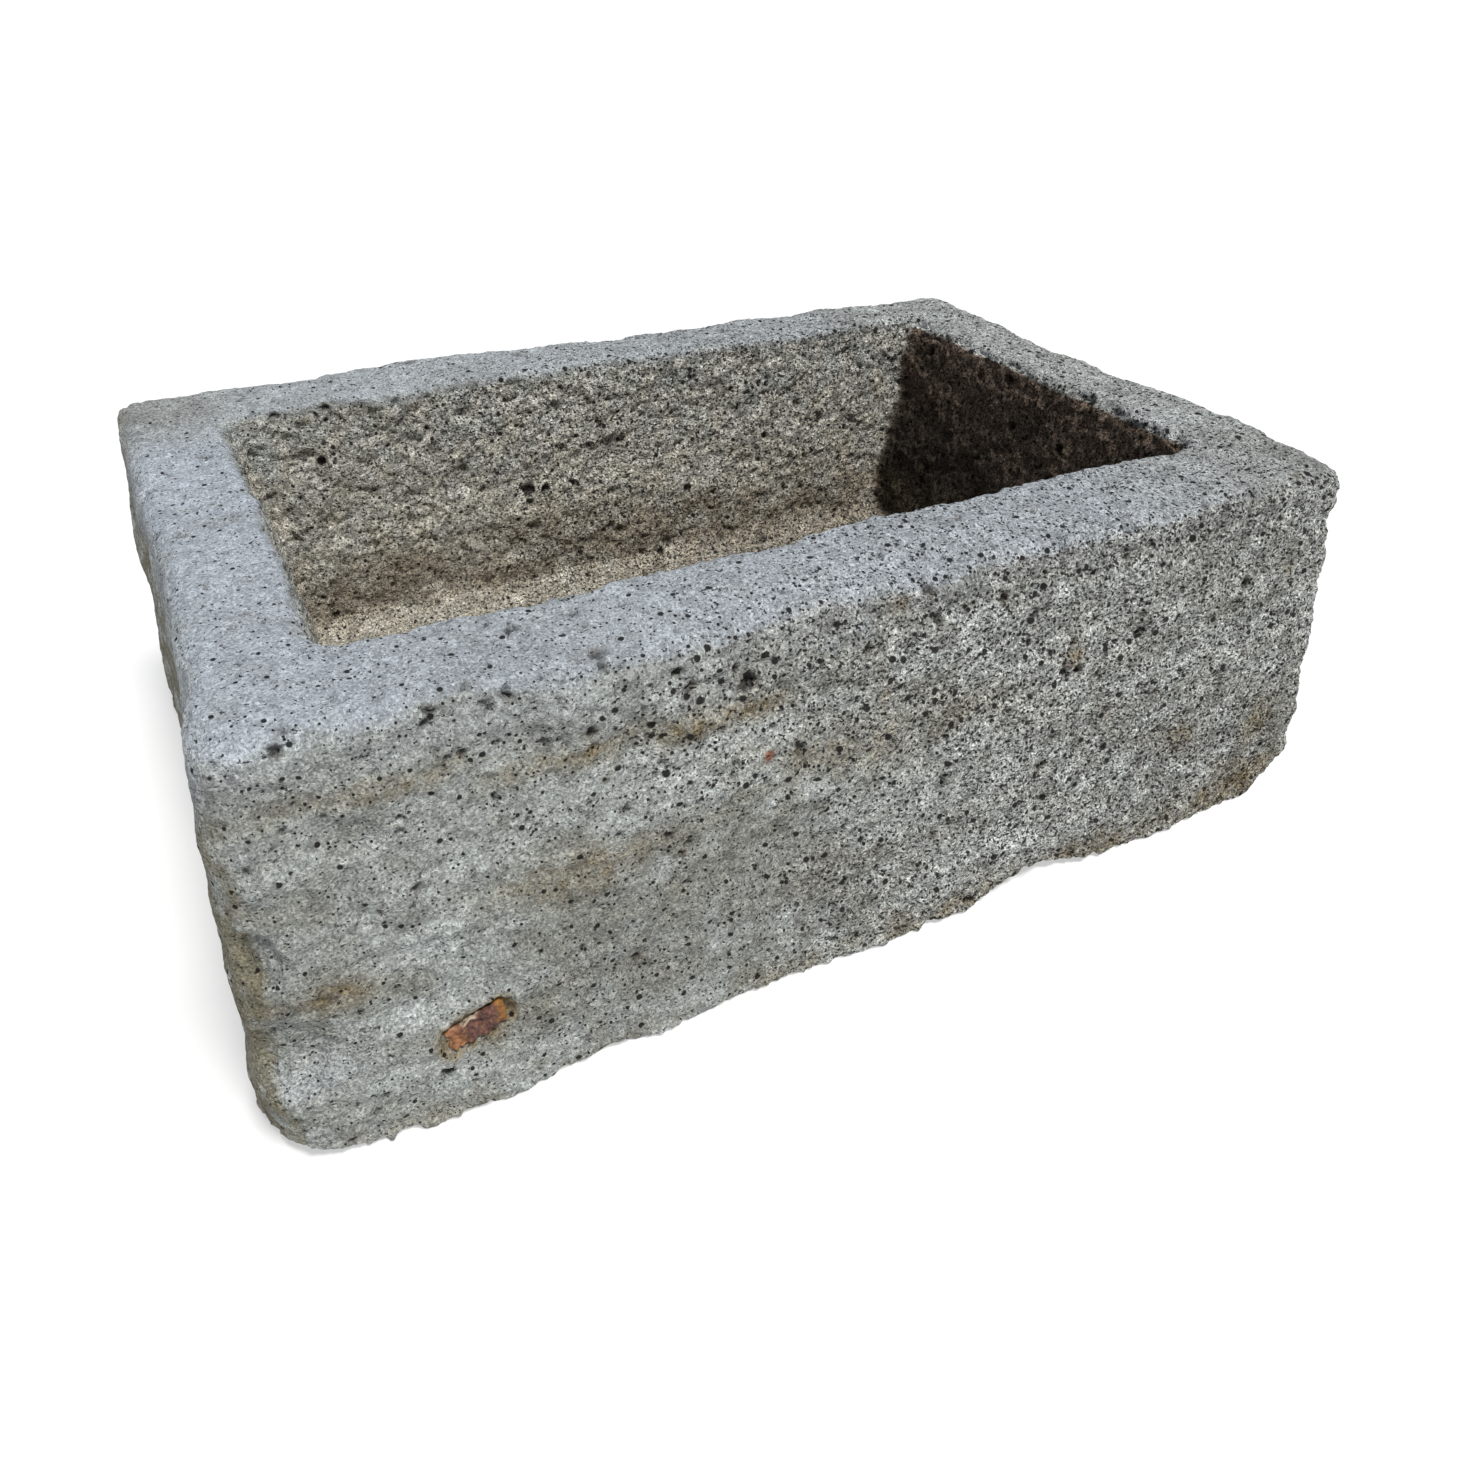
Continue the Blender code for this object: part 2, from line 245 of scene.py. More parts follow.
# %% Thin out the rows
def keep_every(index):
    """How many points a row steps over."""
    zone = rows[index][0]
    alike = [i for i, row in enumerate(rows) if row[0] == zone]
    if zone == "under":
        return 2 if index == alike[-1] else 4
    if zone == "floor":
        gone, whole = index - alike[0], alike[-1] - alike[0]
        return 1 + (gone > 0.3 * whole) + 2 * (gone > 0.6 * whole)
    return 4 if zone == "drain" else 1


every = [keep_every(i) for i in range(len(rows))]
row_points = [row[1][::step] for row, step in zip(rows, every)]
first_of = np.cumsum([0] + [len(p) for p in row_points])
plain = np.concatenate(row_points)
zone_of = np.repeat([row[0] for row in rows], [len(p) for p in row_points])
edge_of = np.repeat([float(row[2]) for row in rows], [len(p) for p in row_points])
print(len(plain), "points")

# %% Faces between the rows, and their charts
# A chart is a piece of the skin laid flat, so that colours can be baked on it.
# Walls unroll by their own length; rim, floor and underside are seen square on.
corner_at = np.cumsum([0, corner_steps + short_steps, corner_steps + long_steps,
                       corner_steps + short_steps]) + corner_steps // 2
at_corner = np.array([row[1][corner_at[1]] for row in rows])
row_gaps = np.linalg.norm(np.diff(at_corner, axis=0), axis=1)
along = np.append(0, np.cumsum(row_gaps))
faces = {4: [], 3: []}
flat = {4: [], 3: []}
chart_of = {4: [], 3: []}


def add_faces(corners, uvs, chart):
    """Keep faces of one corner count, their flat places and chart names."""
    faces[corners.shape[1]].append(corners)
    flat[corners.shape[1]].append(uvs)
    chart_of[corners.shape[1]].append(np.broadcast_to(chart, len(corners)))


def unrolled(index, columns, side):
    """Where columns of a row fall on the chart of one side."""
    points = rows[index][1]
    gaps = np.linalg.norm(np.roll(points, -1, axis=0) - points, axis=1)
    run = np.append(0, np.cumsum(gaps))
    start = corner_at[side]
    u = run[columns] - run[start] + np.where(columns < start, run[-1], 0)
    return np.stack([u, np.full(len(u), along[index])], 1)


def quads_between(index, nxt, zone):
    """Quads between two rows with as many points."""
    count = len(row_points[index])
    i = np.arange(count)
    j = (i + 1) % count
    low, high = first_of[index], first_of[nxt]
    corners = np.stack([low + i, low + j, high + j, high + i], 1)
    if zone in ("wall", "cavity"):
        side = np.searchsorted(corner_at, i, side="right") - 1
        for k in range(4):
            mine = side % 4 == k
            c = i[mine]
            uv = np.stack([unrolled(index, c, k), unrolled(index, c + 1, k),
                           unrolled(nxt, c + 1, k), unrolled(nxt, c, k)], 1)
            add_faces(corners[mine], uv, f"{zone}{k}")
    elif zone == "drain":
        a = np.stack([i, i + 1, i + 1, i], 1) * 2 * np.pi * drain_radius / count
        z = plain[corners][:, :, 2]
        add_faces(corners, np.stack([a, z], 2), zone)
    else:
        add_faces(corners, plain[corners][:, :, :2], zone)


def step_between(index, nxt, zone):
    """Three triangles for each step where the number of points halves."""
    up_half = len(row_points[nxt]) < len(row_points[index])
    many, few = (index, nxt) if up_half else (nxt, index)
    k = np.arange(len(row_points[few]))
    a, b = first_of[many] + 2 * k, first_of[many] + 2 * k + 1
    c = first_of[many] + (2 * k + 2) % len(row_points[many])
    d, e = first_of[few] + k, first_of[few] + (k + 1) % len(k)
    for trio in ((a, b, d), (b, e, d), (b, c, e)):
        corners = np.stack(trio if up_half else trio[::-1], 1)
        uv = plain[corners][:, :, :2]
        add_faces(corners, uv, "under" if zone == "wall" else zone)


for index in range(len(rows)):
    nxt = (index + 1) % len(rows)
    zone = rows[nxt][0] if nxt else "drain"
    same = len(row_points[index]) == len(row_points[nxt])
    (quads_between if same else step_between)(index, nxt, zone)
faces = {n: np.concatenate(found) for n, found in faces.items()}
flat = {n: np.concatenate(found) for n, found in flat.items()}
chart_of = {n: np.concatenate(found) for n, found in chart_of.items()}
print(len(faces[4]), "quads,", len(faces[3]), "triangles")

# %% Lay the charts out on one sheet
# Lower left corners in millimetres, and the share at which a chart is drawn.
sheet = 1205                                   # the side of the sheet, also in mm
charts = {"rim": (5, 5, 1), "wall2": (675, 5, 1), "wall0": (675, 250, 1),
          "wall3": (5, 500, 1), "cavity3": (700, 500, 1), "drain": (700, 672, 1),
          "wall1": (5, 755, 1), "cavity1": (700, 755, 1),
          "under": (5, 1000, 0.44), "cavity2": (310, 1000, 1),
          "cavity0": (660, 1000, 1)}
for n in faces:
    chart_of[n][chart_of[n] == "floor"] = "rim"       # the floor fits in the rim
for name, (x, y, share) in charts.items():
    all_uv = np.concatenate([flat[n][chart_of[n] == name].reshape(-1, 2)
                             for n in flat])
    low = all_uv.min(0)
    wide, tall = (all_uv.max(0) - low) * share / mm
    for n in flat:
        mine = chart_of[n] == name
        flat[n][mine] = ((flat[n][mine] - low) * share / mm + (x, y)) / sheet
    print(name, "from", (x, y), "to", (round(x + wide), round(y + tall)))

# %% [markdown]
# ## Hewing
# The plain skin is moved in steps, the way the real one came about. First the
# slow unevenness of handwork and the worn places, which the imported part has
# too. Then pick marks, crumbled arrises and gas holes, each along the normal.

# %% Slow unevenness
def perlin(points):
    """Blender's smooth noise at many points, from about -1 to 1."""
    return np.fromiter(map(noise.noise, points.tolist()), float, len(points))


def uneven(points, spacing):
    """Smooth noise along each axis, which leaves the foot flat."""
    low = np.minimum(points[:, 2] / floor_thickness, 1)
    seat = low * low * (3 - 2 * low)
    at = points / spacing
    return np.stack([perlin(at + (7, 0, 0)), perlin(at + (0, 11, 0)),
                     perlin(at + (0, 0, 13)) * seat], 1)


def hewn(points):
    """The plain shape as handwork and wear have left it."""
    moved = points + uneven(points, wave_length) * wave_height
    moved += uneven(points, dressing_spacing) * dressing_height
    calmed = rim_calm * np.clip(1 - (height - points[:, 2:]) / rim_band, 0, None)
    moved += uneven(points, mark_spacing) * mark_height * (1 - calmed)
    for centre, reach_x, reach, push in worn_places:
        off = (points - centre) / (reach_x, reach, reach)
        near = np.clip(1 - (off ** 2).sum(1), 0, None)
        moved += near[:, None] ** 2 * np.array(push)
    return moved


base = hewn(plain)
middle = (base.min(0) + base.max(0)) / 2 * (1, 1, 0)
base -= middle
print("moved by", middle.round(5), "size", np.ptp(base, axis=0).round(4))

# %% A mesh from arrays
def mesh_from(name, points, faces, flat):
    """A closed mesh from points and faces by corner count, with its UV map."""
    mesh = bpy.data.meshes.new(name)
    corners = np.concatenate([faces[n].ravel() for n in faces]).astype(np.int32)
    sizes = np.concatenate([np.full(len(faces[n]), n) for n in faces])
    mesh.vertices.add(len(points))
    mesh.vertices.foreach_set("co", points.astype(np.float32).ravel())
    mesh.loops.add(len(corners))
    mesh.loops.foreach_set("vertex_index", corners)
    mesh.polygons.add(len(sizes))
    starts = np.append(0, np.cumsum(sizes)[:-1]).astype(np.int32)
    mesh.polygons.foreach_set("loop_start", starts)
    mesh.update(calc_edges=True)
    layer = mesh.uv_layers.new(name="OFBake", do_init=False)
    uv = np.concatenate([flat[n].reshape(-1, 2) for n in faces])
    layer.uv.foreach_set("vector", uv.astype(np.float32).ravel())
    mesh.shade_smooth()
    return mesh


def normals_of(mesh):
    """The mesh's own vertex normals."""
    found = np.empty(len(mesh.vertices) * 3, np.float32)
    mesh.vertices.foreach_get("normal", found)
    return found.reshape(-1, 3).astype(float)


stone_mesh = mesh_from("trough_skin", base, faces, flat)
normals = normals_of(stone_mesh)
print("outward at the front:", normals[np.argmin(base[:, 1])].round(2))

# %% [markdown]
# ### Scattered marks
# Pick marks and holes are many, never alike, and have to be the same on each
# run. A seeded random list would do, but every point would have to be measured
# against every mark. Here each cell of a grid gets its own numbers from where
# it is, so a point asks only the eight cells near it.

# %% Scattered cells
def scatter(cells, salt):
    """A repeatable number from 0 to 1 for each whole-numbered cell."""
    x, y, z = cells.astype(np.int64).astype(np.uint32).T
    h = x * np.uint32(0x9E3779B1) ^ y * np.uint32(0x85EBCA77)
    h ^= z * np.uint32(0xC2B2AE3D) ^ np.uint32((salt * 0x27D4EB2F) & 0xFFFFFFFF)
    for shift, factor in ((15, 0x2C1B3C6D), (12, 0x297A2D39)):
        h = (h ^ (h >> np.uint32(shift))) * np.uint32(factor)
    return (h ^ (h >> np.uint32(15))) / 2 ** 32


def nearby(points, cell, salt):
    """The eight cells near each point: cell numbers and their seed points."""
    start = np.floor(points / cell - 0.5)
    for corner in np.ndindex(2, 2, 2):
        cells = start + corner
        offset = np.stack([scatter(cells, salt + k) for k in range(3)], 1)
        yield cells, offset


# %% Pick marks and bites
def pick_marks(points, size, salt):
    """Shallow scallops about size apart, with soft ridges between them."""
    nearness = np.zeros(len(points))
    for cells, offset in nearby(points, size, salt):
        seed = (cells + 0.5 + 0.6 * (offset - 0.5)) * size
        gap = ((points - seed) ** 2).sum(1) / size ** 2
        nearness += np.exp(-9 * gap)
    return -np.log(nearness + 1e-6) / 9


def bites(points, cell, share, radii, salt):
    """How deep scattered round bites reach below each point, in metres."""
    depth = np.zeros(len(points))
    for cells, offset in nearby(points, cell, salt):
        seed = (cells + offset) * cell
        more = 0.75 + 0.5 * soft_step(seed[:, 0], -half_x / 2, half_x / 2)
        open_here = scatter(cells, salt + 3) < share * more
        radius = radii[0] + (radii[1] - radii[0]) * scatter(cells, salt + 4) ** 2
        room = radius ** 2 - ((points - seed) ** 2).sum(1)
        depth = np.maximum(depth, np.sqrt(np.clip(room, 0, None)) * open_here)
    return depth


def soft_step(x, low, high):
    """0 below low, 1 above high, and smooth between."""
    t = np.clip((x - low) / (high - low), 0, 1)
    return t * t * (3 - 2 * t)


# %% Where the iron stub sits
# It leans back with the face, and is turned 14 degrees in it.
stub_length, stub_height, stub_depth = 33 * mm, 15 * mm, 22 * mm
stub_proud, stub_from_end, stub_z = 1.2 * mm, 77 * mm, 51 * mm
face = np.array([[stub_from_end - half_x, outside(stub_z, 0)[2], stub_z]])
stub_frame = Matrix.Translation((hewn(face) - middle)[0]) @ Matrix.Rotation(
    -math.atan(batter / height), 4, "X") @ Matrix.Rotation(
    -math.radians(14), 4, "Y")
to_stub = np.array(stub_frame.inverted())
print("stub at", [round(v, 4) for v in stub_frame.translation])

# %% Where each kind of surface is
def nudges(spacing, reach, apart):
    """How far noise of this spacing pushes points aside, both in mm."""
    noises = [perlin(base / (spacing * mm) + k * apart) for k in range(3)]
    return np.stack(noises, 1) * reach * mm


# Every mask is a number per point. Two of them, open_grain and bold, say how
# full of small holes the stone is and how strong its light and dark are. Both
# grow to the right, where the real block is coarser.
x, y, z = base.T
inside = np.isin(zone_of, ("cavity", "floor", "drain")).astype(float)
on_top = soft_step(normals[:, 2], 0.45, 0.9) * (1 - inside)
under = soft_step(-normals[:, 2], 0.5, 0.95) * (1 - inside)
wall = (1 - on_top) * (1 - inside) * (1 - under)
facing_front = soft_step(-normals[:, 1], 0.5, 0.9) * (1 - inside)
facing_left = soft_step(-normals[:, 0], 0.5, 0.85) * (1 - inside)
torn = perlin(base / (14 * mm) + 41)
ragged = perlin(base / (5 * mm) + 3)
warped = base + nudges(5, 1.2, 19)
cloudy = perlin(base / (70 * mm) + 23)
to_the_right = soft_step(x + 90 * mm * cloudy, -0.26, -0.02)
worn_rim = on_top * soft_step(0.25 - x - 0.1 * cloudy, 0, 0.1)
open_grain = np.clip(0.2 + 0.8 * to_the_right, 0, 1) * (1 - 0.45 * inside)
open_grain *= 1 - 0.35 * soft_step(normals[:, 0], 0.4, 0.9) * (1 - inside)
coarse = soft_step(x + 90 * mm * cloudy, -0.16, 0.08)
bold = 0.2 + 0.8 * coarse * (1 - 0.4 * on_top)
bold = np.minimum(bold, open_grain * (1 - 0.4 * on_top))
bold = np.clip(bold + 0.55 * inside, 0, 1)
open_grain *= 1 - 0.4 * worn_rim
for name, mask in (("inside", inside), ("top", on_top), ("walls", wall)):
    print(name, "takes", round(float(mask.mean()), 2), "of the points")

# %% Relief along the normal
def span(values):
    """The least and the most of some lengths, in mm."""
    return [round(float(v) / mm, 1) for v in (values.min(), values.max())]


# Width of the bumps, then their height on the walls, on the rim and inside.
bumps = [(12 * mm, 1.0 * mm, 0.6 * mm, 1.2 * mm),
         (6.5 * mm, 1.2 * mm, 0.5 * mm, 1.5 * mm),
         (3.2 * mm, 1.3 * mm, 0.5 * mm, 1.2 * mm)]
relief = np.zeros(len(base))
rough = wall * (1 - 0.7 * facing_left)
for k, (width, of_wall, of_rim, of_inside) in enumerate(bumps):
    amount = rough * of_wall + on_top * of_rim + inside * of_inside
    relief += amount * perlin(base / width + 31 * k)
strokes = perlin(base / (48 * mm, 48 * mm, 9 * mm) + 7)
relief += rough * 1.2 * mm * strokes
picked = rough * 1.2 * mm + on_top * 0.6 * mm + inside * 1.1 * mm
relief += picked * (pick_marks(warped, 18 * mm, 11) - 0.12)
relief -= 0.4 * mm * (1 - inside)
print("bumps and pick marks, in mm:", span(relief))

# %% Broken arrises
# Stone breaks away at an edge in bites, so the foot line is never straight.
# The lip of the right cavity wall is broken more than the others.
at_foot = np.exp(-z / (8 * mm)) * (1 - inside) * (1 - under * 0.3)
broken = bites(warped, 16 * mm, 0.75, (4 * mm, 10 * mm), 61)
relief -= 0.5 * broken * np.clip(at_foot + 0.3 * edge_of, 0, 1)
crumbs = np.clip(torn + 0.8 * ragged, 0, None)
relief -= crumbs * 4.5 * mm * np.clip(edge_of * 0.4 + at_foot * 0.7, 0, 1)
lip_x = half_x - wall_right
lip = np.exp(-((x - lip_x) / (6 * mm)) ** 2 - ((z - height) / (8 * mm)) ** 2)
relief -= lip * (0.8 * broken + 4.0 * mm * crumbs)
print("with broken arrises, in mm:", span(relief))

# %% Scoops at the left corner and the iron's pocket
# Centre, reach along x, y and z, and depth, all measured from the photograph.
# The pocket is a rounded rectangle round the iron, with a ragged edge.
scoops = [((-0.304, -0.204, 0.124), (0.012, 0.014, 0.016), 0.0060),
          ((-0.303, -0.210, 0.068), (0.019, 0.022, 0.024), 0.0035),
          ((-0.312, -0.205, 0.165), (0.010, 0.014, 0.030), 0.0030),
          ((-0.290, -0.210, 0.092), (0.016, 0.012, 0.007), 0.0025)]
for centre, reach, deep in scoops:
    off = (warped - centre) / reach
    relief -= deep * soft_step(1 - np.sqrt((off ** 2).sum(1)), 0, 0.3)
local = base @ to_stub[:3, :3].T + to_stub[:3, 3]
rounding = 4 * mm
out = np.stack([np.abs(local[:, 0]) - stub_length / 2 + rounding,
                np.abs(local[:, 2]) - stub_height / 2 + rounding], 1)
beyond = np.linalg.norm(np.clip(out, 0, None), axis=1) - rounding
near_stub = (np.abs(local[:, 1]) < 12 * mm) * (1 - inside)
pocket = near_stub * soft_step(-beyond, -(2.2 + 2.0 * ragged) * mm, 0.5 * mm)
relief -= 3.2 * mm * pocket
print("with scoops and pocket, in mm:", span(relief))

# %% [markdown]
# ### Gas holes
# Gas bubbles froze in the lava, and hewing cut them open, so every face shows
# round pits with dark bottoms. A boolean for each would be slow and could
# fail. Instead each point sinks by the depth of the hole that it lies in. Most
# holes are scattered, and the ones that catch the eye are put where the
# photograph has them.

# %% Scattered gas holes
# Size of the cells, share of them with a hole, and smallest and largest radius.
large = bites(warped, 17 * mm, 0.42, (1.6 * mm, 3.8 * mm), 101)
middling = bites(warped, 6.6 * mm, 0.35 + 0.5 * bold, (0.9 * mm, 2.0 * mm), 211)
small = bites(warped, 4.2 * mm, 0.15 + 0.75 * open_grain,
              (0.7 * mm, 1.4 * mm), 307)
hollows = bites(warped, 15 * mm, 0.4, (2.4 * mm, 5.0 * mm), 401) * inside
for name, kind in (("large", large), ("middling", middling), ("small", small)):
    print(name, "holes, in mm:", span(kind))

# %% Four big holes in the back wall
# Their places in metres, and the radius in millimetres.
torn_open = warped + nudges(3.4, 1.8, 29)
big_holes = [(-0.0687, 0.1361, 0.1418, 4.2), (-0.0580, 0.1360, 0.1405, 3.6),
             (-0.0700, 0.1355, 0.1340, 2.8), (-0.0380, 0.1370, 0.1430, 3.0)]
for *centre, radius in big_holes:
    gap = ((torn_open - centre) ** 2).sum(1)
    dent = np.sqrt(np.clip((radius * mm) ** 2 - gap, 0, None))
    large = np.maximum(large, dent)
print(len(big_holes), "big holes")

# %% The pits of the rim, each in its place
# Along the block and across it, and the radius in millimetres.
rim_pits = [
    (-0.2951, 0.0531, 3.4), (-0.2780, 0.0345, 1.7), (-0.2869, 0.0330, 1.5),
    (-0.2651, 0.0608, 1.7), (-0.2584, 0.0555, 2.0), (-0.2574, 0.0217, 2.0),
    (-0.2984, 0.0023, 2.4), (-0.2888, -0.0012, 1.5), (-0.2952, -0.0303, 2.6),
    (-0.2707, -0.0444, 2.0), (-0.2997, -0.0407, 1.7), (-0.2870, 0.1053, 1.8),
    (-0.2616, -0.0012, 1.7), (-0.1742, -0.1577, 3.6), (-0.1459, -0.1557, 2.0),
    (-0.1239, -0.1595, 2.3), (-0.1446, -0.1665, 1.8), (-0.1337, -0.1494, 1.7),
    (-0.1687, -0.1693, 1.6), (-0.1737, -0.1946, 1.9), (-0.1665, -0.1996, 1.9),
    (-0.1481, -0.1954, 2.3), (-0.2002, -0.1772, 1.6), (-0.1895, -0.1972, 2.6)]
on_rim = np.zeros(len(base))
for at_x, at_y, radius in rim_pits:
    gap = np.hypot(torn_open[:, 0] - at_x, torn_open[:, 1] - at_y)
    dent = np.sqrt(np.clip((radius * mm) ** 2 - gap ** 2, 0, None))
    on_rim = np.maximum(on_rim, dent * on_top)
print(len(rim_pits), "pits placed on the rim")

# %% The pits of the front, each in its place
# Along the face and up it, and the radius in millimetres. The wider ones get a
# brown ring, because soil gathers round them.
front_pits = [
    (-0.0813, 0.1871, 4.2), (-0.0870, 0.1960, 2.4), (0.1143, 0.1429, 3.6),
    (-0.1895, 0.2138, 2.4), (-0.1988, 0.2137, 1.8), (-0.1991, 0.1677, 2.0),
    (-0.2373, 0.1720, 2.0), (-0.2640, 0.1801, 1.8), (-0.2102, 0.1938, 2.4),
    (-0.1562, 0.1885, 2.8), (-0.2214, 0.2093, 2.2), (-0.2196, 0.2140, 2.6),
    (-0.1103, 0.1947, 2.4), (-0.1167, 0.2027, 2.4), (-0.1241, 0.1208, 2.2),
    (-0.1149, 0.1117, 2.0), (-0.1488, 0.1310, 1.8), (-0.1486, 0.2140, 2.0),
    (-0.1281, 0.2133, 1.8), (0.0156, 0.2092, 3.0), (0.0210, 0.1946, 2.8),
    (-0.0205, 0.1895, 2.4), (0.1097, 0.1606, 2.4), (0.1407, 0.1523, 2.2),
    (0.1571, 0.1535, 2.6), (0.1058, 0.1440, 3.2), (0.1885, 0.0821, 3.2),
    (0.1777, 0.0648, 2.4), (0.0313, 0.0978, 2.2), (0.1912, 0.0418, 2.0),
    (0.1031, 0.0641, 2.6), (-0.0089, 0.1392, 2.0), (0.2337, 0.1661, 3.0),
    (0.1972, 0.1202, 2.2)]
brown = np.zeros(len(base))
for at_x, at_z, radius in front_pits:
    gap = np.hypot(torn_open[:, 0] - at_x, torn_open[:, 2] - at_z)
    dent = np.sqrt(np.clip((radius * mm) ** 2 - gap ** 2, 0, None))
    large = np.maximum(large, dent * facing_front)
    if radius > 2.3:
        around_it = soft_step(2.2 * radius * mm - gap, 0, 1.6 * radius * mm)
        brown = np.maximum(brown, 0.8 * around_it * facing_front)
print(len(front_pits), "pits placed on the front")

# %% Sink the holes and set the skin
# The holes are cut deeper than round, so that their bottoms are in shade. The
# foot stays flat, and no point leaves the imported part's box.
large = np.maximum(large * (1 - 0.4 * on_top), on_rim)
holes = np.maximum(large, np.maximum(middling, small))
holes *= 1 - pocket
# The dark paint of the pits is dirt in them and painted shade at their bottoms.
dirty_shaded_pits = 0.65 * np.clip(np.maximum(middling, small) / (1.7 * mm), 0, 1)
dirty_shaded_pits = np.maximum(dirty_shaded_pits, 0.85 * np.clip(large / (2 * mm), 0, 1)) * (1 - pocket)
dirty_shaded_pits = np.maximum(dirty_shaded_pits, 0.4 * np.clip(hollows / (3 * mm), 0, 1))
relief -= holes * 1.3 + hollows * 0.6
on_ground = (under > 0.5) & (z < 1 * mm)
relief = np.where(on_ground, np.minimum(relief, 0) * at_foot, relief)
skin = base + normals * relief[:, None]
skin = np.clip(skin, np.array(cad_low), np.array(cad_high))
stone_mesh.vertices.foreach_set("co", skin.astype(np.float32).ravel())
stone_mesh.update()
print("whole relief, in mm:", span(relief))

# %% [markdown]
# ## Where weather has coloured it, with painted light and shade
# Stone takes colour by place: rain washes the top clean, soil stains the
# hollow, dust lies low, and rust bleeds from the iron. Painted skylight makes
# the top pale and bluish, and painted shade darkens the cavity's right end, a
# band under the rim, and the holes along with their dirt. Each of these is one
# number per point, kept on the mesh as an attribute that the material reads.

# %% Rust that has bled into the front
# Along the face, up it, half width, half height, and amount.
rust_places = [
    (-0.2265, 0.0500, 0.022, 0.012, 0.7),
    (-0.2340, 0.1870, 0.045, 0.006, 0.45),
    (-0.1610, 0.1775, 0.040, 0.006, 0.65),
    (-0.1055, 0.1745, 0.032, 0.007, 0.95),
    (-0.0745, 0.1735, 0.018, 0.006, 0.85),
    (-0.1670, 0.1190, 0.034, 0.012, 0.65),
    (-0.2800, 0.0960, 0.020, 0.007, 0.8),
    (-0.0050, 0.1400, 0.090, 0.016, 0.35), (0.1114, 0.1514, 0.008, 0.006, 0.7),
    (-0.0010, 0.2060, 0.006, 0.004, 0.7), (-0.0093, 0.1589, 0.006, 0.016, 0.6),
    (0.2073, 0.0730, 0.009, 0.009, 0.7), (0.2795, 0.0618, 0.012, 0.014, 0.7),
    (0.1200, 0.0080, 0.120, 0.012, 0.6), (0.2810, 0.0150, 0.060, 0.018, 0.8)]
rust = np.zeros(len(base))
for at_x, at_z, wide, tall, amount in rust_places:
    gap = ((x - at_x) / wide) ** 2 + ((z - at_z) / tall) ** 2
    rust = np.maximum(rust, amount * np.exp(-gap) * facing_front)
stub_edge = near_stub * soft_step(7 * mm - beyond, 0, 7 * mm)
rust = np.maximum(rust * np.clip(1 + 0.5 * torn, 0.5, 1.3), stub_edge)
rust = np.clip(rust * (1 + 0.8 * ragged), 0, 1)
print(len(rust_places), "rusty places, and the edge of the iron's pocket")

# %% Stone washed by rain, and painted skylight
# Rain keeps the top and its left shoulder clean, less so at the far right. The
# same mask also paints them pale and bluish as painted skylight. The left rim
# gets more painted skylight on the faces that look up.
washed_and_skylit = soft_step(normals[:, 2] + 0.3 * torn, 0.25, 0.95)
shoulder = soft_step(z + 20 * mm * torn, height - 0.030, height - 0.002)
left_top = soft_step(z + 12 * mm * torn, height - 0.040, height - 0.015)
washed_and_skylit = np.maximum(washed_and_skylit, np.maximum(0.3, 0.8 * facing_left) * shoulder)
washed_and_skylit = np.maximum(washed_and_skylit, 0.7 * facing_left * left_top)
washed_and_skylit *= (1 - inside) * (1 - under)
dull = np.clip(soft_step(x, 0.12, 0.27) + 0.3 * soft_step(y, 0.1, 0.16), 0, 1)
washed_and_skylit *= 1 - 0.7 * dull
washed_and_skylit *= 1 - 0.6 * soft_step(y, 0.08, 0.17) * soft_step(-x, 0.2, 0.27)
painted_skylight = soft_step(normals[:, 2], 0.1, 0.6) * (1 - inside)
painted_skylight *= soft_step(-x, 0.2, 0.27)
painted_skylight *= soft_step(torn + 0.7, 0, 0.8) * soft_step(0.15 - y, 0, 0.10)
painted_skylight *= 1 - 0.6 * soft_step(-y, 0.04, 0.12)

# %% Soil, painted shade and dust
# Soil stains the cavity more the deeper it is, and dust lies on the floor and
# along the foot. The cavity wall at the right end, which faces left, gets
# painted shade: brown, and near black lower down as painted deep shadow.
patchy = np.clip(0.9 + 1.6 * torn + 0.8 * ragged, 0.1, 1.6)
depth = np.clip((height - z) / 0.14, 0, 1)
soil = inside * (0.25 + 0.6 * depth + 0.5 * torn)
shaded_end = inside * soft_step(-normals[:, 0], 0.3, 0.8)
far_end = soft_step(x, -0.10, 0.10)
dust = inside * soft_step(0.078 - z, 0.0, 0.006) * (1 - 0.8 * far_end)
dust += (1 - inside) * soft_step(0.022 - z, 0.0, 0.02) * 0.6

# %% Lichen, grime and painted shade
# Lichen grows on the left end. Grime lies in clouds: along the face, up it,
# half width, half height, and amount, which is below zero where it is clean.
# The last cloud, a band just under the rim, is painted shade below the shoulder.
lichen = soft_step(-normals[:, 0], 0.35, 0.8) * (1 - washed_and_skylit)
lichen *= soft_step(-x, 0.27, 0.3)
lichen *= 1 - 0.6 * soft_step(z, 0.13, 0.2)
grime_and_shade_places = [(-0.105, 0.08, 0.08, 0.05, 1.1),
                (-0.115, 0.155, 0.05, 0.018, -1.0),
                (-0.29, 0.195, 0.03, 0.015, 0.6), (0.25, 0.05, 0.07, 0.05, 0.7),
                (0.20, 0.18, 0.05, 0.03, 0.3), (0.08, 0.207, 0.18, 0.012, 1.0)]
grime_and_shade = 0.15 + 0.1 * to_the_right + 0.9 * torn + 0.5 * cloudy
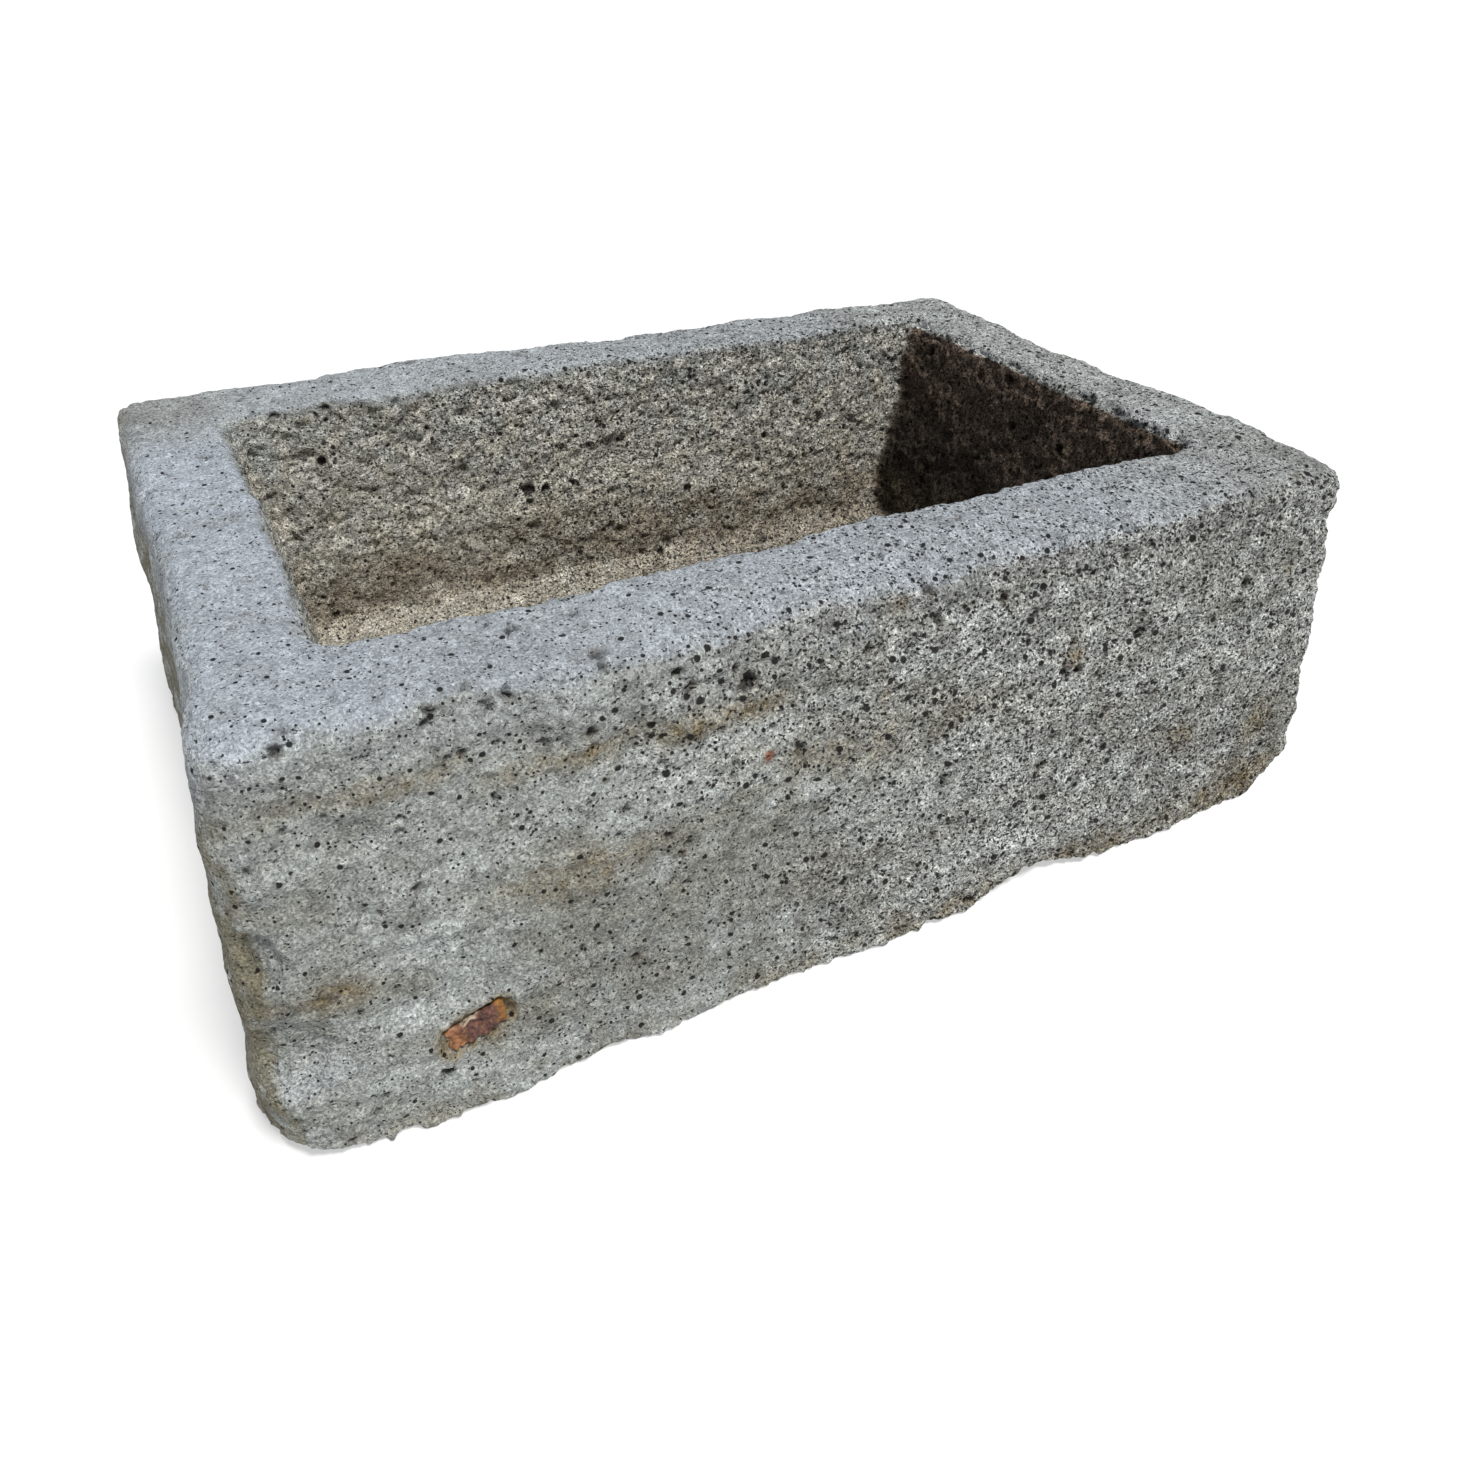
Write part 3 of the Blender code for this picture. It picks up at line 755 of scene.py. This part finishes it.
for at_x, at_z, wide, tall, amount in grime_and_shade_places:
    grime_and_shade += amount * np.exp(-((x - at_x) / wide) ** 2 - ((z - at_z) / tall) ** 2)
grime_and_shade += on_top * (0.9 * soft_step(y, 0.08, 0.15) * soft_step(-x, 0.2, 0.26)
                   + 0.5 * soft_step(x, 0.22, 0.27) * soft_step(-y, 0.1, 0.15))
grime_and_shade *= 1 - inside
grime_and_shade *= 1 - 0.7 * washed_and_skylit
print(len(grime_and_shade_places), "clouds of grime")

# %% Brown rings round the holes
# The same cells and salt as for the large holes, so that each ring lies round
# a hole. Low in the cavity the brown runs together.
halo = bites(warped, 17 * mm, 0.35, (3.6 * mm, 6.0 * mm), 101) / (4 * mm)
halo *= (0.3 + 0.7 * open_grain) * np.clip(0.6 + 1.5 * ragged, 0, 1)
foot_of_wall = inside * soft_step(0.135 - z, 0, 0.045)
foot_of_wall *= soft_step(z, 0.072, 0.082)
low_end = inside * far_end * soft_step(0.115 - z, 0, 0.04) * 0.8
halo = np.maximum(halo, np.maximum(foot_of_wall * (0.95 + torn), low_end))
halo = np.maximum(halo, brown * np.clip(0.7 + 1.5 * ragged, 0, 1))

# %% Keep every stain on the mesh
marks = {"pit_dirt_and_shade": dirty_shaded_pits, "washed_and_skylit": washed_and_skylit, "grime_and_shade": grime_and_shade,
         "soil": soil, "painted_end_shade": shaded_end, "rust": rust, "halo": halo,
         "dust": dust * patchy, "lichen": lichen * patchy, "open": open_grain,
         "bold": bold, "painted_skylight": painted_skylight,
         # painted deep shadow, low on the cavity's right end wall
         "painted_deep_shadow": shaded_end * soft_step(depth, 0.1, 0.75)}
for name, at_x, at_z, radius in (("fleck", -0.0715, 0.1466, 3.8 * mm),
                                 ("pale", -0.0703, 0.1190, 2.4 * mm)):
    gap = np.hypot(x - at_x, z - at_z) + 0.8 * mm * ragged
    marks[name] = soft_step(radius - gap, 0, 1.2 * mm) * facing_front
for name, amounts in marks.items():
    stored = stone_mesh.attributes.new(name, "FLOAT", "POINT")
    stored.data.foreach_set("value", np.clip(amounts, 0, 1).astype(np.float32))
    print(name, "covers", round(float((amounts > 0.5).mean()), 3))

# %% The trough as an object
def carry(thing, node):
    """Put a piece in the scene, riding on the part in place of a CAD node."""
    bpy.context.scene.collection.objects.link(thing)
    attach(thing, "root")
    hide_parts(node)


trough = bpy.data.objects.new("hewn_trough", stone_mesh)
carry(trough, "trough")

# %% Colours and nodes
def colour(code):
    """A shader colour from an sRGB hex code."""
    parts = [int(code[i:i + 2], 16) / 255 for i in (1, 3, 5)]
    return (*[p / 12.92 if p <= 0.04045 else ((p + 0.055) / 1.055) ** 2.4
              for p in parts], 1)


def node(tree, kind, settings=None, inputs=None):
    """Add a node, with its own settings and its inputs set or linked."""
    made = tree.nodes.new(kind)
    for key, value in (settings or {}).items():
        setattr(made, key, value)
    for key, value in (inputs or {}).items():
        if isinstance(value, bpy.types.NodeSocket):
            tree.links.new(value, made.inputs[key])
        else:
            made.inputs[key].default_value = value
    return made


# %% [markdown]
# ## The stone
# The real block is a grey volcanic stone with gas bubbles, split and pecked by
# hand, then weathered. That gives the eye three scales: millimetre crystals in
# light and dark grey, pin-prick bubbles, and broad clouds of tone. It is quite
# matt, so the roughness is high and the gloss low.

# %% Stone: patterns at their real sizes
# Clouds of tone are 26 and 9 mm wide, as on the real block. Its crystals and
# grit are 0.2 to 1 mm, but in this frame one pixel covers 0.4 to 0.9 mm, so
# they and the gaps between them are drawn 1.1 to 1.5 mm wide, as coarse as
# they need to show. Clouds and gaps are longer along the block than upright.
lava_stone = bpy.data.materials.new("pecked_lava_stone")
lava_stone.use_nodes = True
tree = lava_stone.node_tree
stone = tree.nodes["Principled BSDF"]
stone.inputs["Roughness"].default_value = 0.93
stone.inputs["Specular IOR Level"].default_value = 0.25
place = node(tree, "ShaderNodeTexCoord").outputs["Object"]
streaked, pecked = (
    node(tree, "ShaderNodeVectorMath", {"operation": "MULTIPLY"},
         {0: place, 1: stretch}).outputs[0]
    for stretch in ((0.5, 0.5, 1), (0.65, 0.65, 1)))
sizes = {"bloom": (26 * mm, 6, streaked), "mottle": (9 * mm, 3, place),
         "grit": (1.1 * mm, 2, place), "gap": (1.5 * mm, 2, pecked)}
seen = {name: node(tree, "ShaderNodeTexNoise", inputs={
    "Vector": at, "Scale": 1 / size, "Detail": detail, "Roughness": 0.65})
    .outputs["Fac"] for name, (size, detail, at) in sizes.items()}
crystals = node(tree, "ShaderNodeTexVoronoi", inputs={
    "Vector": place, "Scale": 1 / (1.3 * mm)})
seen["crystal"] = node(tree, "ShaderNodeSeparateColor", inputs={
    0: crystals.outputs["Color"]}).outputs[1]
found = {name: node(tree, "ShaderNodeAttribute", {"attribute_name": name})
         .outputs["Fac"] for name in marks}

# %% Stone: pin-prick bubbles and gaps between the grains
# Bubbles are wider where the stone is open grained, and gaps where it is bold.
# The gaps are where a noise lies low, so they wander between the grains as
# real ones do. Real pin-pricks are 0.3 to 1 mm across, too fine to show here,
# so the finer of the two kinds is drawn up to 2 mm across. Both are painted
# near black: the dirt in them and painted shade inside them.
opened = node(tree, "ShaderNodeMapRange", inputs={
    "Value": found["open"], 3: 0.65, 4: 1.2}).outputs[0]
lowered = node(tree, "ShaderNodeMath", {"operation": "MULTIPLY_ADD"}, {
    0: found["bold"], 1: -0.11, 2: seen["gap"]}).outputs[0]
shaded_prick = node(tree, "ShaderNodeMapRange", inputs={
    "Value": lowered, 1: 0.27, 2: 0.34, 3: 0.95, 4: 0}).outputs[0]
for cell, radius in ((2.6 * mm, 0.38), (5.6 * mm, 0.35)):
    bubbles = node(tree, "ShaderNodeTexVoronoi", inputs={
        "Vector": place, "Scale": 1 / cell})
    chance = node(tree, "ShaderNodeSeparateColor", inputs={
        0: bubbles.outputs["Color"]}).outputs[0]
    reach = node(tree, "ShaderNodeMapRange", inputs={
        "Value": chance, 1: 0.35, 2: 1.0, 3: 0, 4: radius}).outputs[0]
    reach = node(tree, "ShaderNodeMath", {"operation": "MULTIPLY"}, {
        0: reach, 1: opened}).outputs[0]
    inner = node(tree, "ShaderNodeMath", {"operation": "MULTIPLY"}, {
        0: reach, 1: 0.72}).outputs[0]
    bubble = node(tree, "ShaderNodeMapRange", inputs={
        "Value": bubbles.outputs["Distance"], 1: inner, 2: reach, 3: 1, 4: 0})
    shaded_prick = node(tree, "ShaderNodeMath", {"operation": "MAXIMUM"}, {
        0: shaded_prick, 1: bubble.outputs[0]}).outputs[0]

# %% Stone: colours laid over each other
tone = node(tree, "ShaderNodeMapRange", inputs={
    "Value": seen["bloom"], 1: 0.42, 2: 0.56}).outputs[0]
paint = node(tree, "ShaderNodeMix", {"data_type": "RGBA"}, {
    0: tone, 6: colour("#959892"), 7: colour("#adb3b1")}).outputs[2]
# Grime also carries the painted shade band under the rim.
washes = [("bold", "#c9cac5", 0.55), ("grime_and_shade", "#79766c", 0.6),
          # The next two are painted skylight on the top: pale on clean stone, then bluish.
          ("washed_and_skylit", "#a8afb7", 0.8), ("painted_skylight", "#b4bcc6", 0.8),
          ("lichen", "#776e52", 0.75), ("soil", "#cfc6b4", 0.85),
          # The next two are painted shade on the cavity's right end wall, near black low
          # down.
          ("painted_end_shade", "#685648", 0.93), ("painted_deep_shadow", "#17120f", 0.85),
          ("dust", "#a39f91", 0.6), ("halo", "#6e6250", 0.6),
          ("rust", "#82714f", 0.85), ("fleck", "#7e452a", 0.88),
          ("pale", "#ccd0d2", 0.8)]
for name, code, strength in washes:
    share = node(tree, "ShaderNodeMath", {"operation": "MULTIPLY"}, {
        0: found[name], 1: strength}).outputs[0]
    paint = node(tree, "ShaderNodeMix", {"data_type": "RGBA"}, {
        0: share, 6: paint, 7: colour(code)}).outputs[2]
light_and_dark = [("mottle", 0.30, 0.70, 0.75, 1.22),
                  ("crystal", 0, 1, 0.66, 1.29), ("grit", 0.3, 0.7, 0.48, 1.40)]
speckle = 1.0
for name, low, high, darkest, lightest in light_and_dark:
    amount = node(tree, "ShaderNodeMapRange", inputs={
        "Value": seen[name], 1: low, 2: high, 3: darkest, 4: lightest}).outputs[0]
    speckle = node(tree, "ShaderNodeMath", {"operation": "MULTIPLY"}, {
        0: speckle, 1: amount}).outputs[0]
contrast = node(tree, "ShaderNodeMapRange", inputs={
    "Value": found["bold"], 3: 0.85, 4: 1.5}).outputs[0]
speckle = node(tree, "ShaderNodeMath", {"operation": "POWER"}, {
    0: speckle, 1: contrast}).outputs[0]
rubbed = node(tree, "ShaderNodeMath", {"operation": "MULTIPLY"}, {
    0: found["washed_and_skylit"], 1: 0.15}).outputs[0]
speckle = node(tree, "ShaderNodeMix", {"data_type": "FLOAT"}, {
    0: rubbed, 2: speckle, 3: 1.0}).outputs[0]
paint = node(tree, "ShaderNodeVectorMath", {"operation": "SCALE"}, {
    0: paint, 3: speckle}).outputs[0]
# Pits and pin-pricks are painted near black: dirt, and painted shade in them.
for socket, strength in ((found["pit_dirt_and_shade"], 0.92), (shaded_prick, 0.96)):
    share = node(tree, "ShaderNodeMath", {"operation": "MULTIPLY"}, {
        0: socket, 1: strength}).outputs[0]
    paint = node(tree, "ShaderNodeMix", {"data_type": "RGBA"}, {
        0: share, 6: paint, 7: colour("#15120f")}).outputs[2]
tree.links.new(paint, stone.inputs["Base Color"])

# %% Stone: relief finer than the mesh
raised = node(tree, "ShaderNodeMath", {"operation": "MULTIPLY_ADD"}, {
    0: seen["crystal"], 1: 0.35, 2: seen["grit"]}).outputs[0]
raised = node(tree, "ShaderNodeMath", {"operation": "SUBTRACT"}, {
    0: raised, 1: shaded_prick}).outputs[0]
bump = node(tree, "ShaderNodeBump", inputs={
    "Height": raised, "Distance": 1.2 * mm, "Strength": 1}).outputs["Normal"]
tree.links.new(bump, stone.inputs["Normal"])
stone_mesh.materials.append(lava_stone)
print(lava_stone.name, "has", len(tree.nodes), "nodes")

# %% [markdown]
# ## The iron stub
# Some iron fixing was once let into the front, and its rusted end is left in a
# small pocket. It is a rounded bar that narrows inwards, swollen and flaking.
# It could be sculpted, but a finely divided block that is rounded, then pushed
# about by two noises, comes out the same on each run.

# %% The stub's shape
block = bmesh.new()
bmesh.ops.create_cube(block, size=2)
bmesh.ops.subdivide_edges(block, edges=block.edges[:], cuts=29,
                          use_grid_fill=True)
p = np.array([v.co for v in block.verts])
half = np.array([stub_length, stub_depth + stub_proud, stub_height]) / 2
round_off = 3.4 * mm
core = np.clip(p * half, -(half - round_off), half - round_off)
out = p * half - core
size = np.maximum(np.linalg.norm(out, axis=1), 1e-9)[:, None]
p = core + out / size * np.minimum(size, round_off)
broad_flakes = 2.0 * mm * perlin(p / (6.5 * mm))
small_flakes = 1.6 * mm * perlin(p / (2.6 * mm) + 9)
flakes = broad_flakes + small_flakes - 0.8 * mm
p += out / size * flakes[:, None]
p[:, 0] *= 0.93 + 0.12 * perlin(p / (5 * mm) + 3)
deep = (p[:, 1] + half[1]) / (2 * half[1])
p[:, [0, 2]] *= (1 - 0.45 * deep)[:, None]
p[:, 1] += half[1] - stub_proud
for vert, place_at in zip(block.verts, p):
    vert.co = stub_frame @ Vector(place_at)
stub_mesh = bpy.data.meshes.new("iron_stub_skin")
block.to_mesh(stub_mesh)
block.free()
stub_mesh.shade_smooth()
print("flakes, in mm:", span(flakes))

# %% Where the rust is orange or amber, and a painted highlight along its top
stray = 3 * mm * perlin(p / (4 * mm))
orange = soft_step(-p[:, 0] + stray, 4 * mm, 10 * mm)
amber = soft_step(p[:, 0] + stray, 9 * mm, 13 * mm)
# A pale band along the stub's upper edge is a painted highlight.
waver = 1.8 * mm * perlin(p / (2.4 * mm) + 5)
painted_top_highlight = soft_step(p[:, 2] + waver, 5.4 * mm, 6.4 * mm)
painted_top_highlight *= soft_step(5 * mm - np.abs(p[:, 0] + 3 * mm), -3 * mm, 2 * mm)
for name, amounts in (("orange", orange), ("amber", amber), ("painted_top_highlight", painted_top_highlight)):
    stored = stub_mesh.attributes.new(name, "FLOAT", "POINT")
    stored.data.foreach_set("value", amounts.astype(np.float32))
stub = bpy.data.objects.new("rusted_stub", stub_mesh)
carry(stub, "iron_stub")
print("stub with", len(stub_mesh.polygons), "faces")

# %% [markdown]
# ### Rust
# Old iron out of doors turns to layered rust: dark purple-brown scale where it
# is thick, orange and amber powder where it is fresh. It is matt and no longer
# a metal to the eye, so metallic is zero and the roughness is high.

# %% Rust: scale, powder and a painted highlight along the top
# Real flakes are well under 1 mm, so they are drawn 2.4 mm wide to show.
rust_scale = bpy.data.materials.new("flaking_iron_rust")
rust_scale.use_nodes = True
tree = rust_scale.node_tree
rusty = tree.nodes["Principled BSDF"]
rusty.inputs["Roughness"].default_value = 0.85
place = node(tree, "ShaderNodeTexCoord").outputs["Object"]
flake = node(tree, "ShaderNodeTexNoise", inputs={
    "Vector": place, "Scale": 1 / (2.4 * mm), "Detail": 4, "Roughness": 0.7})
spots = node(tree, "ShaderNodeMapRange", inputs={
    "Value": flake.outputs["Fac"], 1: 0.35, 2: 0.68}).outputs[0]
paint = node(tree, "ShaderNodeMix", {"data_type": "RGBA"}, {
    0: spots, 6: colour("#41292a"), 7: colour("#7d5646")}).outputs[2]
# The last of these is a painted highlight along the stub's top edge.
powders_and_highlight = {"orange": "#a8744c", "amber": "#a37034", "painted_top_highlight": "#d3c4ac"}
for name, code in powders_and_highlight.items():
    here = node(tree, "ShaderNodeAttribute",
                {"attribute_name": name}).outputs["Fac"]
    share = node(tree, "ShaderNodeMath", {"operation": "MULTIPLY"}, {
        0: here, 1: 0.8}).outputs[0]
    paint = node(tree, "ShaderNodeMix", {"data_type": "RGBA"}, {
        0: share, 6: paint, 7: colour(code)}).outputs[2]
shade = node(tree, "ShaderNodeMapRange", inputs={
    "Value": flake.outputs["Fac"], 1: 0.3, 2: 0.7, 3: 0.6, 4: 1.3}).outputs[0]
paint = node(tree, "ShaderNodeVectorMath", {"operation": "SCALE"}, {
    0: paint, 3: shade}).outputs[0]
tree.links.new(paint, rusty.inputs["Base Color"])
bump = node(tree, "ShaderNodeBump", inputs={
    "Height": flake.outputs["Fac"], "Distance": 1.2 * mm, "Strength": 1})
tree.links.new(bump.outputs["Normal"], rusty.inputs["Normal"])
stub_mesh.materials.append(rust_scale)
print(rust_scale.name, "has", len(tree.nodes), "nodes")

# %% [markdown]
# ## Floor and light
# A product photograph is taken on a pale sheet that runs past the frame, with
# one large soft lamp. A wide flat sheet does for the first. It glows a little,
# so that the shadow on it stays as faint as in the photograph. A sun as wide
# as 13 degrees gives the shade in the cavity its soft edge, and the pale sky
# fills in the rest.

# %% A matt paper sheet
paper = bpy.data.materials.new("pale_floor")
paper.use_nodes = True
sheet_look = paper.node_tree.nodes["Principled BSDF"].inputs
sheet_look["Base Color"].default_value = colour("#bcbcbc")
sheet_look["Roughness"].default_value = 0.9
sheet_look["Emission Color"].default_value = colour("#ffffff")
sheet_look["Emission Strength"].default_value = 0.45
floor_mesh = bpy.data.meshes.new("floor")
far = 30
floor_mesh.from_pydata(
    [(-far, -far, 0), (far, -far, 0), (far, far, 0), (-far, far, 0)], [],
    [(0, 1, 2, 3)])
floor_mesh.materials.append(paper)
ground = bpy.data.objects.new("floor", floor_mesh)
bpy.context.scene.collection.objects.link(ground)
print("sheet", 2 * far, "m wide")

# %% Light
def sunlight(name, toward, strength, width, code):
    """An even light from far off; width is its apparent size in degrees."""
    data = bpy.data.lights.new(name, "SUN")
    data.energy, data.angle = strength, math.radians(width)
    data.color = colour(code)[:3]
    thing = bpy.data.objects.new(name, data)
    thing.rotation_euler = Vector(toward).to_track_quat("Z", "Y").to_euler()
    bpy.context.scene.collection.objects.link(thing)


sunlight("key", (0.14, -0.42, 1.0), 3.4, 13, "#fffdfa")
world = bpy.data.worlds.new("studio")
bpy.context.scene.world = world
world.use_nodes = True
sky = world.node_tree.nodes["Background"].inputs
sky["Color"].default_value = colour("#e8eef8")
sky["Strength"].default_value = 0.32
bpy.context.scene.view_settings.view_transform = "Standard"
